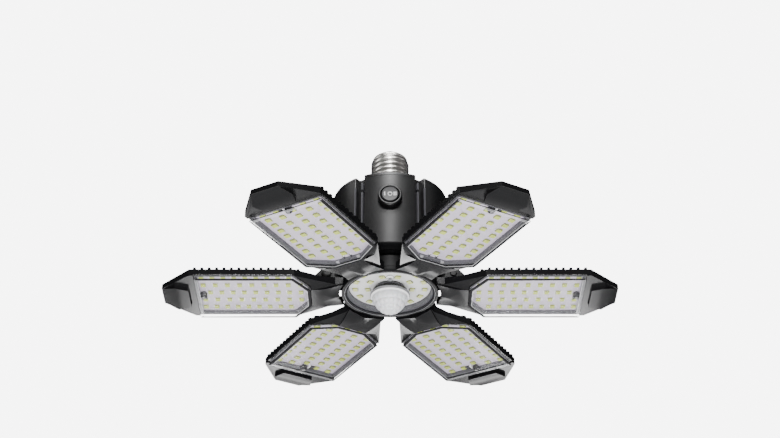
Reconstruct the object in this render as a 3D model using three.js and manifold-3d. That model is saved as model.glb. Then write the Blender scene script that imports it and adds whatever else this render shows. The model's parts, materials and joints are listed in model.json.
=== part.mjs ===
// A six-leaf folding ceiling lamp with a motion sensor, on an E26 screw base. Millimetres, +Z up.
// It is modelled hanging: a round hub with a face ring, a sensor dome below it and a driver housing
// above it, and six flat LED leaves hinged round the hub. Leaf shapes are drawn once, pointing
// along +X, with z = 0 on the hub's face plane, and are turned into place by their groups.
// The exported frame has its origin on the centre contact, where the lamp bears on its socket.

import * as THREE from "three";
import { mergeVertices } from "three/addons/utils/BufferGeometryUtils.js";
import Module from "manifold-3d";

const wasm = await Module();
wasm.setup();

// ---- driving dimensions -------------------------------------------------------------------------

const GAP = 0.3; // clearance between neighbouring pieces
const ROUND = 30; // sides of a round piece
const SMALL_ROUND = 12; // sides of a pin or a screw

const LEAVES = 6;
const FRONT = -Math.PI / 2; // the switch side of the hub

const CONTACT_Z = 112; // centre contact above the hub's face plane

const HINGE_R = 42; // hinge axis: distance from the lamp's axis
const HINGE_Z = 11;
const PIN_R = 2;
const PIN_HOLE_R = PIN_R + GAP;

const LENS_INNER = 52.1; // leaf lens outline, measured from the lamp's axis
const LENS_CHAMFER = 10.8;
const LENS_OUTER = 127.8;
const LENS_HALF_WIDTH = 26.3;
const LENS_HALF_NECK = 10.5;
const LENS_FACE_Z = -3.2;
const LENS_PLATE = 1.1;
const LENS_STEP_Z = -0.5; // the lens narrows here to go inside the tray
const LENS_TOP_Z = 0.9;

const RIM = 0.9; // the leaf casting stands out this far round the lens
const LEAF_RIM_Z = -0.2; // the lens stands well below the rim, so light also leaves its sides
const LEAF_END_Z = -1.1; // underside of the arm's corners and of the leaf's outer end
const LEAF_TOP_Z = 3.7;
const TRAY_INSET = 1.3;
const TRAY_TOP_Z = 2.7;
const LEAF_END = 150.3;
const LEAF_END_HALF = 9.7;
const LEAF_END_TOP_Z = 2.3;
const LEAF_SHOULDER = 131;

const FINS = 15;
const FIN_FIRST = 60;
const FIN_PITCH = 4.82;
const FIN_THICK = 1.7;
const FIN_TOP_Z = 5.9;
const FIN_EDGE_Z = 5.1; // each fin falls away to its ends, so that neighbouring leaves fold clear
const FIN_FLAT_HALF = 24.6;
const SCREW_BOSS_TOP_Z = 5.1;

const BOARD_FACE_Z = 2;
const BOARD_THICK = 0.6;
const LENS_SCREW_R = 123.5; // where the lens screw goes up into the casting
const SCREW_SHANK_R = 1.1;
const SCREW_HOLE_R = SCREW_SHANK_R + GAP;
const CLIP_V = 7.6; // the lens clips stand this far to each side of the leaf's middle

const HUB_R = 32.5;
const HUB_NECK_R = 30;
const HUB_WALL_TOP_Z = 11.4;
const HUB_FLOOR_Z = 7.4;
const SPIGOT_R = 23.7; // the hub's neck stands in the housing's floor
const FACE_OPENING_R = 29.5;

const BODY_R = 38.8; // driver housing
const BODY_WALL = 2.2;
const BODY_BOTTOM_Z = 17.1;
const BODY_TOP_Z = 72.2;
const CAP_THICK = 2.4;
const GROOVE_DEPTH = 4.4;
const PANEL_HALF = THREE.MathUtils.degToRad(26.3); // half angle of the smooth switch panel
const GROOVE_END = THREE.MathUtils.degToRad(36.4);
const RIB_WIDTH = 1;
const RIB_HEIGHT = 2;
const BEAD_WIDTH = 0.9; // raised bead along the far edge of each groove

const SWITCH_Z = 52;
const SWITCH_FLANGE_R = 8.1;
const SWITCH_FACE = BODY_R + 3.7;
const SWITCH_OPENING_R = 6.2;
const ROCKER_R = 5.6;

const DOME_R = 12.2;
const DOME_Z = -1.9;
const DOME_FLANGE_Z = -1.4; // top of the flange that the collar holds
const HOLDER_Z = 0.5; // rim of the sensor holder
const COLLAR_R = 13.2;

const SHELL_BOTTOM_Z = 84.3;
const SHELL_TOP_Z = 107.3;
const THREAD_CREST_R = 13.1;
const THREAD_DEPTH = 0.95;
const THREAD_PITCH = 25.4 / 7; // seven turns to the inch
const SHELL_BORE_R = 11.6;

// ---- geometry and booleans ----------------------------------------------------------------------

function solid(geometry) {
  const bare = geometry.clone();
  bare.deleteAttribute("normal");
  bare.deleteAttribute("uv");
  const merged = mergeVertices(bare, 1e-4);
  return new wasm.Manifold(
    new wasm.Mesh({
      numProp: 3,
      vertProperties: new Float32Array(merged.attributes.position.array),
      triVerts: new Uint32Array(merged.index.array),
    }),
  );
}

function geometry(made) {
  const mesh = made.getMesh();
  const shape = new THREE.BufferGeometry();
  shape.setAttribute("position", new THREE.BufferAttribute(mesh.vertProperties, 3));
  shape.setIndex(new THREE.BufferAttribute(mesh.triVerts, 1));
  const flat = shape.toNonIndexed();
  flat.computeVertexNormals();
  return flat;
}

const union = (...solids) => solids.reduce((a, b) => a.add(b));
const cut = (from, ...tools) => tools.reduce((a, b) => a.subtract(b), from);

function prism(points, low, high) {
  const shape = new THREE.Shape(points.map(([x, y]) => new THREE.Vector2(x, y)));
  const made = new THREE.ExtrudeGeometry(shape, { depth: high - low, bevelEnabled: false });
  return solid(made.translate(0, 0, low));
}

// A side profile in (x, z), carried across y from low to high.
function sidePrism(points, low, high) {
  const shape = new THREE.Shape(points.map(([x, z]) => new THREE.Vector2(x, z)));
  const made = new THREE.ExtrudeGeometry(shape, { depth: high - low, bevelEnabled: false });
  return solid(made.rotateX(Math.PI / 2).translate(0, high, 0));
}

function box([x0, x1], [y0, y1], [z0, z1]) {
  const made = new THREE.BoxGeometry(x1 - x0, y1 - y0, z1 - z0);
  return solid(made.translate((x0 + x1) / 2, (y0 + y1) / 2, (z0 + z1) / 2));
}

// A lathe of (radius, z) points, given anticlockwise in the half plane; the profile closes itself.
function turned(points, sides = ROUND) {
  const loop = points.map(([r, z]) => new THREE.Vector2(r, z));
  if (points[0][0] > 0 || points[points.length - 1][0] > 0) loop.push(loop[0].clone());
  return solid(new THREE.LatheGeometry(loop, sides).rotateX(Math.PI / 2));
}

const disc = (r, low, high, sides = ROUND) =>
  turned([[0, low], [r, low], [r, high], [0, high]], sides);

const ring = (inner, outer, low, high, sides = ROUND) =>
  turned([[inner, low], [outer, low], [outer, high], [inner, high]], sides);

// Turns a solid made round +Z so that its axis runs along +Y, or along -Y.
const alongY = (made) => made.rotate([-90, 0, 0]);
const alongMinusY = (made) => made.rotate([90, 0, 0]);

// The outline of a convex polygon, listed anticlockwise, moved inwards by inset.
function insetOutline(points, inset) {
  const corners = points.map(([x, y]) => new THREE.Vector2(x, y));
  const edges = corners.map((a, i) => {
    const b = corners[(i + 1) % corners.length];
    const along = b.clone().sub(a).normalize();
    const inward = new THREE.Vector2(-along.y, along.x);
    return { start: a.clone().addScaledVector(inward, inset), along };
  });
  return edges.map((edge, i) => {
    const before = edges[(i + edges.length - 1) % edges.length];
    const between = edge.start.clone().sub(before.start);
    const t = between.cross(edge.along) / before.along.cross(edge.along);
    const corner = before.start.clone().addScaledVector(before.along, t);
    return [corner.x, corner.y];
  });
}

function arc(cx, cy, r, from, to, steps) {
  return Array.from({ length: steps + 1 }, (_, i) => {
    const a = THREE.MathUtils.degToRad(from + ((to - from) * i) / steps);
    return [cx + r * Math.cos(a), cy + r * Math.sin(a)];
  });
}

// ---- leaf ---------------------------------------------------------------------------------------

const LENS_OUTLINE = [
  [LENS_INNER, LENS_HALF_NECK],
  [LENS_INNER, -LENS_HALF_NECK],
  [LENS_INNER + LENS_CHAMFER, -LENS_HALF_WIDTH],
  [LENS_OUTER, -LENS_HALF_WIDTH],
  [LENS_OUTER, LENS_HALF_WIDTH],
  [LENS_INNER + LENS_CHAMFER, LENS_HALF_WIDTH],
];
const ARM_BOTTOM_Z = -2.7;
const ARM_INNER_R = 30.5; // trimmed round to clear the hub
const ARM_INNER_HALF = 13.5;
const WING_INNER_Z = 0.6; // the wings' slanted undersides rise to here beside the hub
const ARM_FLOOR_Z = 1.8; // floor of the hollow behind the arm
const CHEEK_WALL = 2.3;
const CHEEK_HALF = 9;
const CHANNEL_HALF = CHEEK_HALF - CHEEK_WALL;
const LUG_HALF = CHANNEL_HALF - GAP; // the hub's lug stands between the arm's cheeks

// Mirrors a half outline, listed outwards along the -Y side, to the +Y side.
const bothSides = (half) => [...half, ...half.map(([x, y]) => [x, -y]).reverse()];

// The arm is a bowed tongue between two wings that widen from the hub to the leaf. Its back is
// hollow, and two cheeks stand up from it to hold the hinge pin.
function leafArm() {
  const halfWidth = LENS_HALF_WIDTH + RIM;
  const outerR = LENS_INNER + LENS_CHAMFER - 0.5;
  const face = (bottom) => [
    ...bottom,
    [LENS_INNER - GAP, LEAF_END_Z],
    [outerR, LEAF_END_Z],
    [outerR, LEAF_TOP_Z],
    [46, LEAF_TOP_Z],
    [36, 5.5],
    [ARM_INNER_R, 5.5],
  ];
  const plan = bothSides([
    [ARM_INNER_R, -ARM_INNER_HALF],
    [36, -ARM_INNER_HALF],
    [outerR, -halfWidth],
  ]);
  const tonguePlan = bothSides([
    [ARM_INNER_R, -ARM_INNER_HALF],
    [33, -ARM_INNER_HALF + 0.2],
    [46, -11.2],
    [LENS_INNER, -LENS_HALF_NECK],
    [outerR, -LENS_HALF_NECK],
  ]);
  const hollow = bothSides([
    [ARM_INNER_R - 1, -11.6],
    [36, -11.8],
    [50.5, -18.9],
  ]);
  const bowed = face([
    [ARM_INNER_R, -0.3],
    [34, -0.9],
    [38, -1.75],
    [42, -2.45],
    [46, ARM_BOTTOM_Z],
    [LENS_INNER - GAP, ARM_BOTTOM_Z],
  ]);
  const tongue = sidePrism(bowed, -halfWidth, halfWidth).intersect(prism(tonguePlan, -5, 20));
  const low = face([
    [ARM_INNER_R, ARM_BOTTOM_Z],
    [LENS_INNER - GAP, ARM_BOTTOM_Z],
  ]);
  const sheet = sidePrism(low, -halfWidth, halfWidth).intersect(prism(plan, -5, 20));
  const wings = [-1, 1].reduce((made, side) => {
    const slant = new THREE.Plane().setFromCoplanarPoints(
      new THREE.Vector3(LENS_INNER, side * LENS_HALF_NECK, ARM_BOTTOM_Z),
      new THREE.Vector3(outerR, side * halfWidth, LEAF_END_Z),
      new THREE.Vector3(33, side * ARM_INNER_HALF, WING_INNER_Z),
    );
    const up = Math.sign(slant.normal.z);
    const normal = slant.normal.clone().multiplyScalar(up);
    return made.trimByPlane(normal.toArray(), -slant.constant * up);
  }, sheet);
  const cheek = sidePrism(
    [[34.4, 1], [54, 1], [54, LEAF_TOP_Z], [52, 7.2], ...arc(HINGE_R, HINGE_Z, 4.9, 40, 165, 5)],
    -CHEEK_HALF,
    CHEEK_HALF,
  );
  const channel = sidePrism(
    [[28, 2], [34, 1.5], [38, 0.6], [42, -0.1], [46, -0.4], [50, -0.4], [50, 20], [28, 20]],
    -CHANNEL_HALF,
    CHANNEL_HALF,
  );
  const arm = union(cut(union(tongue, wings), prism(hollow, ARM_FLOOR_Z, 20)), cheek);
  return cut(arm, channel, disc(HUB_R + 1.4, -5, 20));
}

// The end of the leaf: a thumb tab that stands below the rim and slopes up to the tip.
function leafTab() {
  const tab = sidePrism(
    [[132.6, LEAF_END_Z + 1], [132.6, -3.6], [141.2, -3.6], [149.4, LEAF_END_Z], [149.4, LEAF_END_Z + 1]],
    -15,
    15,
  );
  const plan = prism(
    [[132, -11], [141.2, -14.4], [149.6, -9.6], [149.6, 9.6], [141.2, 14.4], [132, 11]],
    -5,
    LEAF_END_Z + 1,
  );
  return tab.intersect(plan);
}

function leafCasting() {
  const rim = insetOutline(LENS_OUTLINE, -RIM);
  const halfWidth = LENS_HALF_WIDTH + RIM;
  const outline = [
    rim[0],
    rim[1],
    rim[2],
    [LEAF_SHOULDER, -halfWidth],
    [LEAF_END, -LEAF_END_HALF],
    [LEAF_END, LEAF_END_HALF],
    [LEAF_SHOULDER, halfWidth],
    rim[5],
  ];
  const slope = sidePrism(
    [[129.5, LEAF_TOP_Z], [LEAF_END + 1, LEAF_END_TOP_Z - 0.1], [LEAF_END + 1, 9], [129.5, 9]],
    -30,
    30,
  );
  const block = cut(prism(outline, LEAF_END_Z, LEAF_TOP_Z), slope);
  const seat = prism(insetOutline(LENS_OUTLINE, -GAP), -5, LEAF_RIM_Z);
  const sides = box([LENS_INNER + LENS_CHAMFER, LENS_OUTER + GAP], [-30, 30], [-5, LEAF_RIM_Z]);
  const fins = Array.from({ length: FINS }, (_, i) => {
    const x = FIN_FIRST + i * FIN_PITCH;
    const half = Math.min(halfWidth, 25.2 + (x - FIN_FIRST) * 0.5);
    const flat = half - (halfWidth - FIN_FLAT_HALF);
    const face = [
      [-half, LEAF_TOP_Z - 0.5],
      [half, LEAF_TOP_Z - 0.5],
      [half, FIN_EDGE_Z],
      [flat, FIN_TOP_Z],
      [-flat, FIN_TOP_Z],
      [-half, FIN_EDGE_Z],
    ];
    return sidePrism(face, -FIN_THICK / 2, FIN_THICK / 2).rotate([0, 0, 90]).translate([x, 0, 0]);
  });
  const tray = prism(insetOutline(LENS_OUTLINE, TRAY_INSET), LEAF_RIM_Z - 1, TRAY_TOP_Z);
  const thumbGroove = box([131.9, 132.6], [-10.5, 10.5], [LEAF_END_Z - 1, LEAF_END_Z + 1.6]);
  const boss = disc(3, LEAF_TOP_Z - 0.5, SCREW_BOSS_TOP_Z, SMALL_ROUND);
  const screwBoss = boss.translate([LENS_SCREW_R, 0, 0]);
  const hole = disc(SCREW_HOLE_R, 0, SCREW_BOSS_TOP_Z - 0.8, 8);
  const screwHole = hole.translate([LENS_SCREW_R, 0, 0]);
  const clipSlots = [-1, 1].map((side) =>
    box([51.9, 54.5], [side * CLIP_V - 1.6, side * CLIP_V + 1.6], [LEAF_RIM_Z - 1, 1.3]),
  );
  const wireSlot = box([49, 54.5], [-2, 2], [1, 2.8]);
  const pinHole = alongY(disc(PIN_HOLE_R, -20, 20, SMALL_ROUND)).translate([HINGE_R, 0, HINGE_Z]);
  const whole = union(block, leafArm(), leafTab(), screwBoss, ...fins);
  return cut(whole, seat, sides, tray, thumbGroove, screwHole, ...clipSlots, wireSlot, pinHole);
}

function leafBoard() {
  const outline = insetOutline(LENS_OUTLINE, TRAY_INSET + GAP);
  const screwHole = disc(SCREW_HOLE_R, 0, 4, 8).translate([LENS_SCREW_R, 0, 0]);
  return cut(prism(outline, BOARD_FACE_Z, BOARD_FACE_Z + BOARD_THICK), screwHole);
}

function leafLens() {
  const skirtInset = TRAY_INSET + GAP;
  const hollow = prism(insetOutline(LENS_OUTLINE, skirtInset + 1.2), LENS_FACE_Z + LENS_PLATE, 5);
  const plate = prism(LENS_OUTLINE, LENS_FACE_Z, LENS_STEP_Z);
  const skirt = prism(insetOutline(LENS_OUTLINE, skirtInset), LENS_STEP_Z - 0.1, LENS_TOP_Z);
  const clips = [-1, 1].map((side) =>
    box([52.3, 54.2], [side * CLIP_V - 1.2, side * CLIP_V + 1.2], [LENS_STEP_Z - 0.1, 1]),
  );
  const boss = disc(2.6, LENS_FACE_Z + 0.5, LENS_TOP_Z, SMALL_ROUND).translate([LENS_SCREW_R, 0, 0]);
  const screwWay = union(
    disc(SCREW_HOLE_R, -5, 5, 8),
    disc(2.3, -5, -1.5, SMALL_ROUND),
  ).translate([LENS_SCREW_R, 0, 0]);
  return cut(union(cut(union(plate, skirt), hollow), ...clips, boss), screwWay);
}

function lensScrew() {
  const head = disc(2, -2.6, -1.8, SMALL_ROUND);
  const shank = disc(SCREW_SHANK_R, -2, SCREW_BOSS_TOP_Z - 1.1, 8);
  const slot = box([-0.3, 0.3], [-1.5, 1.5], [-3, -2.3]);
  return cut(union(head, shank), slot).translate([LENS_SCREW_R, 0, 0]);
}


function hingePin() {
  const head = disc(3.4, CHEEK_HALF + GAP, CHEEK_HALF + 1.7, SMALL_ROUND);
  const shank = disc(PIN_R, -CHEEK_HALF - 1, CHEEK_HALF + 1, SMALL_ROUND);
  return alongY(union(head, shank)).translate([HINGE_R, 0, HINGE_Z]);
}

// ---- hub ----------------------------------------------------------------------------------------

function hubLug() {
  const nose = arc(HINGE_R, HINGE_Z, 4.4, -90, 90, 6);
  const lug = sidePrism([[28.5, 9], [31, 6.6], ...nose, [28.5, 15.4]], -LUG_HALF, LUG_HALF);
  return cut(lug, alongY(disc(PIN_HOLE_R, -20, 20, SMALL_ROUND)).translate([HINGE_R, 0, HINGE_Z]));
}

function hubFrame() {
  const core = turned([
    [6, HUB_FLOOR_Z],
    [HUB_NECK_R, HUB_FLOOR_Z],
    [HUB_NECK_R, 3.3],
    [HUB_R, 3.3],
    [HUB_R, HUB_WALL_TOP_Z],
    [HUB_NECK_R, HUB_WALL_TOP_Z],
    [HUB_NECK_R, BODY_BOTTOM_Z - GAP],
    [SPIGOT_R, BODY_BOTTOM_Z - GAP],
    [SPIGOT_R, 21],
    [21.5, 21],
    [21.5, 10],
    [6, 10],
  ]);
  const lugs = Array.from({ length: LEAVES }, (_, i) => hubLug().rotate([0, 0, (i * 360) / LEAVES]));
  return union(core, ...lugs);
}

const faceRing = () =>
  turned([
    [27.7, 2.1],
    [FACE_OPENING_R, 2.1],
    [FACE_OPENING_R, 0],
    [HUB_R - 0.5, 0],
    [HUB_R, 0.5],
    [HUB_R, 3],
    [29.7, 3],
    [29.7, 7.1],
    [27.7, 7.1],
  ]);

const hubLens = () => ring(12.4, FACE_OPENING_R - GAP, 0.3, 1.8);

const hubBoard = () => ring(9.3, 27.4, 5.5, 7.1);

const sensorHolder = () =>
  turned([
    [7.4, 7.1],
    [8, 3.9],
    [10.9, HOLDER_Z],
    [12.1, HOLDER_Z],
    [9.4, 4.2],
    [9, 5.4],
    [9, 7.1],
  ]);

const sensorCollar = () => ring(10.4, COLLAR_R, DOME_FLANGE_Z + GAP, HOLDER_Z - GAP);

// The dome is a hollow hemisphere on a flange.
function sensorDome() {
  const outer = arc(0, DOME_Z, DOME_R, -80, -10, 6);
  const inner = arc(0, DOME_Z, DOME_R - 0.9, -10, -80, 6);
  return turned([
    [0, DOME_Z - DOME_R],
    ...outer,
    [DOME_R, DOME_FLANGE_Z - 0.6],
    [COLLAR_R - 0.3, DOME_FLANGE_Z - 0.6],
    [COLLAR_R - 0.3, DOME_FLANGE_Z],
    [DOME_R - 0.9, DOME_FLANGE_Z],
    ...inner,
    [0, DOME_Z - DOME_R + 0.9],
  ]);
}

const pirDetector = () =>
  turned([[0, -3.4], [4.1, -3.4], [4.1, -0.2], [4.7, -0.2], [4.7, 0.6], [0, 0.6]], 24);

const pirBoard = () => disc(7.3, 0.9, 2.1, 24);

function lightSensor() {
  const bead = turned([[0, 2.2], [1.4, 2.5], [2.3, 3.3], [2.5, 5.2], [0, 5.2]], SMALL_ROUND);
  return bead.translate([0, -14.9, 0]);
}

// ---- driver housing -----------------------------------------------------------------------------

// The plan: a circle with a pair of grooves, each with a thin rib, beside the front and rear panels.
function bodyOutline(inset) {
  const floor = BODY_R - GROOVE_DEPTH;
  const quarter = [];
  const add = (r, angle) => quarter.push([r - inset, angle]);
  const panelSteps = 3;
  for (let i = 0; i <= panelSteps; i++) {
    add(BODY_R, (PANEL_HALF * i) / panelSteps);
  }
  add(floor, PANEL_HALF);
  if (inset === 0) {
    const ribStart = THREE.MathUtils.lerp(PANEL_HALF, GROOVE_END, 0.45);
    const ribEnd = ribStart + RIB_WIDTH / floor;
    add(floor, ribStart);
    add(floor + RIB_HEIGHT, ribStart);
    add(floor + RIB_HEIGHT, ribEnd);
    add(floor, ribEnd);
  }
  add(floor, GROOVE_END);
  const sideSteps = 5;
  for (let i = 0; i <= sideSteps; i++) {
    add(BODY_R, THREE.MathUtils.lerp(GROOVE_END, Math.PI / 2, i / sideSteps));
  }
  const half = [...quarter, ...quarter.slice(0, -1).reverse().map(([r, a]) => [r, Math.PI - a])];
  const rest = half.slice(1, -1).reverse().map(([r, a]) => [r, -a]);
  return [...half, ...rest].map(([r, a]) => [r * Math.cos(a + FRONT), r * Math.sin(a + FRONT)]);
}

function driverHousing() {
  const top = BODY_TOP_Z - CAP_THICK - GAP;
  const outside = prism(bodyOutline(0), BODY_BOTTOM_Z, top);
  const inside = prism(bodyOutline(BODY_WALL), BODY_BOTTOM_Z + 2, top + 1);
  const spigotHole = disc(SPIGOT_R + GAP, BODY_BOTTOM_Z - 1, BODY_BOTTOM_Z + 3);
  const bead = box([BODY_R - 1, BODY_R + 0.6], [-BEAD_WIDTH / 2, BEAD_WIDTH / 2], [39, 64]);
  const beads = [-1, 1].map((side) => {
    const angle = FRONT + side * GROOVE_END;
    return bead.rotate([0, 0, THREE.MathUtils.radToDeg(angle)]);
  });
  const switchHole = alongMinusY(disc(7.2, 30, 45, 24)).translate([0, 0, SWITCH_Z]);
  return cut(union(outside, ...beads), inside, spigotHole, switchHole);
}

function topCap() {
  const plate = prism(bodyOutline(0), BODY_TOP_Z - CAP_THICK, BODY_TOP_Z);
  const neck = turned([
    [0, BODY_TOP_Z - 1],
    [20, BODY_TOP_Z - 1],
    [18.5, BODY_TOP_Z + 2.5],
    [15.4, BODY_TOP_Z + 6],
    [14.6, SHELL_BOTTOM_Z - GAP],
    [SHELL_BORE_R - GAP, SHELL_BOTTOM_Z - GAP],
    [SHELL_BORE_R - GAP, SHELL_BOTTOM_Z + 5],
    [0, SHELL_BOTTOM_Z + 5],
  ]);
  return cut(union(plate, neck), disc(8.5, BODY_TOP_Z - 5, SHELL_BOTTOM_Z + 7));
}

function switchBezel() {
  const bezel = turned(
    [
      [SWITCH_OPENING_R, 34.6],
      [6.9, 34.6],
      [6.9, BODY_R + GAP],
      [SWITCH_FLANGE_R, BODY_R + GAP],
      [SWITCH_FLANGE_R, SWITCH_FACE - 0.6],
      [SWITCH_FLANGE_R - 0.6, SWITCH_FACE],
      [SWITCH_OPENING_R, SWITCH_FACE],
    ],
    24,
  );
  return alongMinusY(bezel).translate([0, 0, SWITCH_Z]);
}

function rocker() {
  const cap = turned(
    [
      [0, 35],
      [1.6, 35],
      [1.6, 38.6],
      [ROCKER_R, 38.6],
      [ROCKER_R, SWITCH_FACE + 0.2],
      [ROCKER_R - 0.5, SWITCH_FACE + 0.7],
      [0, SWITCH_FACE + 0.4],
    ],
    24,
  );
  return alongMinusY(cap).translate([0, 0, SWITCH_Z]);
}

const switchBody = () => box([-6.2, 6.2], [-34.3, -22], [SWITCH_Z - 6.2, SWITCH_Z + 6.2]);
const driverBoard = () => box([-24, 24], [2, 3.6], [22, 66]);
const driverTransformer = () => box([-18, 0], [-12, 1.7], [28, 46]);
const driverCapacitor = () => disc(5.5, 26, 47, SMALL_ROUND).translate([11, -4.2, 0]);

// ---- screw base ---------------------------------------------------------------------------------

// The threaded shell: rings of points whose radius follows a rounded helical thread.
function screwShell() {
  const bottom = SHELL_BOTTOM_Z;
  const threadTop = SHELL_TOP_Z - 2.2;
  const rows = 20;
  const root = THREAD_CREST_R - THREAD_DEPTH;
  const rings = [() => [SHELL_BORE_R, bottom]];
  for (let i = 0; i <= rows; i++) {
    const z = bottom + ((threadTop - bottom) * i) / rows;
    const fade = Math.min(1, Math.min(i, rows - i) / 3);
    rings.push((angle) => {
      const phase = (z / THREAD_PITCH) * 2 * Math.PI - angle;
      return [root + fade * THREAD_DEPTH * (0.5 + 0.5 * Math.cos(phase)), z];
    });
  }
  rings.push(() => [11.4, SHELL_TOP_Z - 0.5]);
  rings.push(() => [9.9, SHELL_TOP_Z]);
  rings.push(() => [9.9, SHELL_TOP_Z - 0.7]);
  rings.push(() => [10.9, SHELL_TOP_Z - 1.2]);
  rings.push(() => [SHELL_BORE_R, threadTop]);
  const sides = 24;
  const position = [];
  const index = [];
  rings.forEach((at, i) => {
    for (let j = 0; j < sides; j++) {
      const angle = (2 * Math.PI * j) / sides;
      const [r, z] = at(angle);
      position.push(r * Math.cos(angle), r * Math.sin(angle), z);
      const next = ((i + 1) % rings.length) * sides;
      const here = i * sides;
      const k = (j + 1) % sides;
      index.push(here + j, here + k, next + k, here + j, next + k, next + j);
    }
  });
  const shape = new THREE.BufferGeometry();
  shape.setAttribute("position", new THREE.Float32BufferAttribute(position, 3));
  shape.setIndex(index);
  return solid(shape);
}

const baseInsulator = () =>
  turned([[0, 103.8], [9.5, 103.8], [9.5, SHELL_TOP_Z + 0.2], [6, 109.6], [0, 109.6]]);

const contactTip = () =>
  turned([[0, 109.9], [5, 109.9], [5, 110.8], [4.2, CONTACT_Z], [0, CONTACT_Z]], 24);

// ---- fasteners between hub and housing ----------------------------------------------------------

const HUB_SCREWS = 3;
const HUB_SCREW_R = 18.5;

function hubScrew() {
  const head = disc(2.6, 10.3, 12.3, SMALL_ROUND);
  const shank = disc(1.5, 12, 16, SMALL_ROUND);
  return union(head, shank);
}

// ---- materials ----------------------------------------------------------------------------------

const finish = (color, roughness, metalness, extra = {}) =>
  new THREE.MeshStandardMaterial({ color, roughness, metalness, ...extra });

const clear = { transparent: true, opacity: 0.3 };
const MATERIALS = {
  casting: finish(0x1d1d20, 0.45, 0.6),
  housing: finish(0x232326, 0.45, 0),
  bezel: finish(0x3a3a3e, 0.4, 0),
  board: finish(0xe6e3ea, 0.5, 0),
  lens: finish(0xf2f4f6, 0.08, 0, clear),
  dome: finish(0xf3f3f4, 0.35, 0),
  collar: finish(0xb9b9bd, 0.35, 0),
  nickel: finish(0xd9d5cc, 0.25, 1),
  steel: finish(0x9b9ca0, 0.3, 1),
  brass: finish(0xb89c5a, 0.35, 1),
  glass: finish(0x111113, 0.2, 0),
  rubber: finish(0x151515, 0.8, 0),
  circuit: finish(0x2f6b45, 0.5, 0),
  coil: finish(0xc9a227, 0.6, 0),
};

// ---- assembly -----------------------------------------------------------------------------------

const lamp = new THREE.Group();
lamp.position.z = -CONTACT_Z;

function place(parent, name, made, material) {
  const mesh = new THREE.Mesh(made, MATERIALS[material].clone());
  mesh.name = name;
  parent.add(mesh);
  return mesh;
}

const LEAF_PIECES = {
  leaf_casting: [geometry(leafCasting()), "casting"],
  led_board: [geometry(leafBoard()), "board"],
  leaf_lens: [geometry(leafLens()), "lens"],
  lens_screw: [geometry(lensScrew()), "steel"],
  hinge_pin: [geometry(hingePin()), "steel"],
};

for (let i = 0; i < LEAVES; i++) {
  const leaf = new THREE.Group();
  leaf.rotation.z = (i * 2 * Math.PI) / LEAVES;
  for (const [name, [shape, material]] of Object.entries(LEAF_PIECES)) {
    place(leaf, `${name}_${i + 1}`, shape, material);
  }
  lamp.add(leaf);
}

place(lamp, "hub_frame", geometry(hubFrame()), "casting");
place(lamp, "face_ring", geometry(faceRing()), "bezel");
place(lamp, "hub_lens", geometry(hubLens()), "lens");
place(lamp, "hub_led_board", geometry(hubBoard()), "board");
place(lamp, "sensor_holder", geometry(sensorHolder()), "housing");
place(lamp, "sensor_collar", geometry(sensorCollar()), "collar");
place(lamp, "sensor_dome", geometry(sensorDome()), "dome");
place(lamp, "pir_detector", geometry(pirDetector()), "nickel");
place(lamp, "pir_board", geometry(pirBoard()), "circuit");
place(lamp, "light_sensor", geometry(lightSensor()), "lens");
place(lamp, "driver_housing", geometry(driverHousing()), "housing");
place(lamp, "top_cap", geometry(topCap()), "housing");
place(lamp, "switch_bezel", geometry(switchBezel()), "housing");
place(lamp, "switch_rocker", geometry(rocker()), "bezel");
place(lamp, "switch_body", geometry(switchBody()), "housing");
place(lamp, "driver_board", geometry(driverBoard()), "circuit");
place(lamp, "driver_transformer", geometry(driverTransformer()), "coil");
place(lamp, "driver_capacitor", geometry(driverCapacitor()), "housing");
place(lamp, "screw_shell", geometry(screwShell()), "nickel");
place(lamp, "base_insulator", geometry(baseInsulator()), "glass");
place(lamp, "contact_tip", geometry(contactTip()), "brass");

for (let i = 0; i < HUB_SCREWS; i++) {
  const screw = place(lamp, `hub_screw_${i + 1}`, geometry(hubScrew()), "steel");
  const angle = ((i + 0.25) * 2 * Math.PI) / HUB_SCREWS;
  screw.position.set(HUB_SCREW_R * Math.cos(angle), HUB_SCREW_R * Math.sin(angle), 0);
}

export default lamp;
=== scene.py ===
import json
import math

import bmesh
import bpy
from mathutils import Matrix, Vector


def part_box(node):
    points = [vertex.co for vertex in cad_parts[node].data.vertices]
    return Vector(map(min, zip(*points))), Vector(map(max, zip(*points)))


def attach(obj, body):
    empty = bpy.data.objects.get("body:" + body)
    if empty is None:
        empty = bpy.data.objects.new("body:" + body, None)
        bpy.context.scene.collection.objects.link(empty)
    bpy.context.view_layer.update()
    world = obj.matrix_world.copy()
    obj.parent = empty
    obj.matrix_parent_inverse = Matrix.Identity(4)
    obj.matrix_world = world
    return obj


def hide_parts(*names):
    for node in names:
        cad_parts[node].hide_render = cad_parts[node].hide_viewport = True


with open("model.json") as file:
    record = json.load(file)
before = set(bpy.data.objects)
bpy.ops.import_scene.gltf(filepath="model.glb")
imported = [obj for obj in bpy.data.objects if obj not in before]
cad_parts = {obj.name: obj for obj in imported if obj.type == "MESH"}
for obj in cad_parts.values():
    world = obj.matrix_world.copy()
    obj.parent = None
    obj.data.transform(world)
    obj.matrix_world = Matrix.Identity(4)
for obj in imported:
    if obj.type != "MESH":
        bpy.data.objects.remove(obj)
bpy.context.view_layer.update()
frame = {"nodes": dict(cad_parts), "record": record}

# A six-leaf folding ceiling lamp. Shapes are drawn in millimetres in the lamp's own frame, whose
# z = 0 is the hub's face plane, and are put in place by hub_matrix. Leaf shapes are drawn pointing
# along +X and turned into place for each leaf.

MM = 0.001
LEAVES = 6
ROOT = "lamp_body"
ROUND = 96  # sides of a large round piece
FINE = 48  # sides of a small one
TINY = 12  # sides of a wire
AXIS_R = 0.02  # a turned outline that reaches the axis ends in a cap this small
BEVEL_SEGMENTS = 2
CORNER_STEPS = 3

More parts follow.
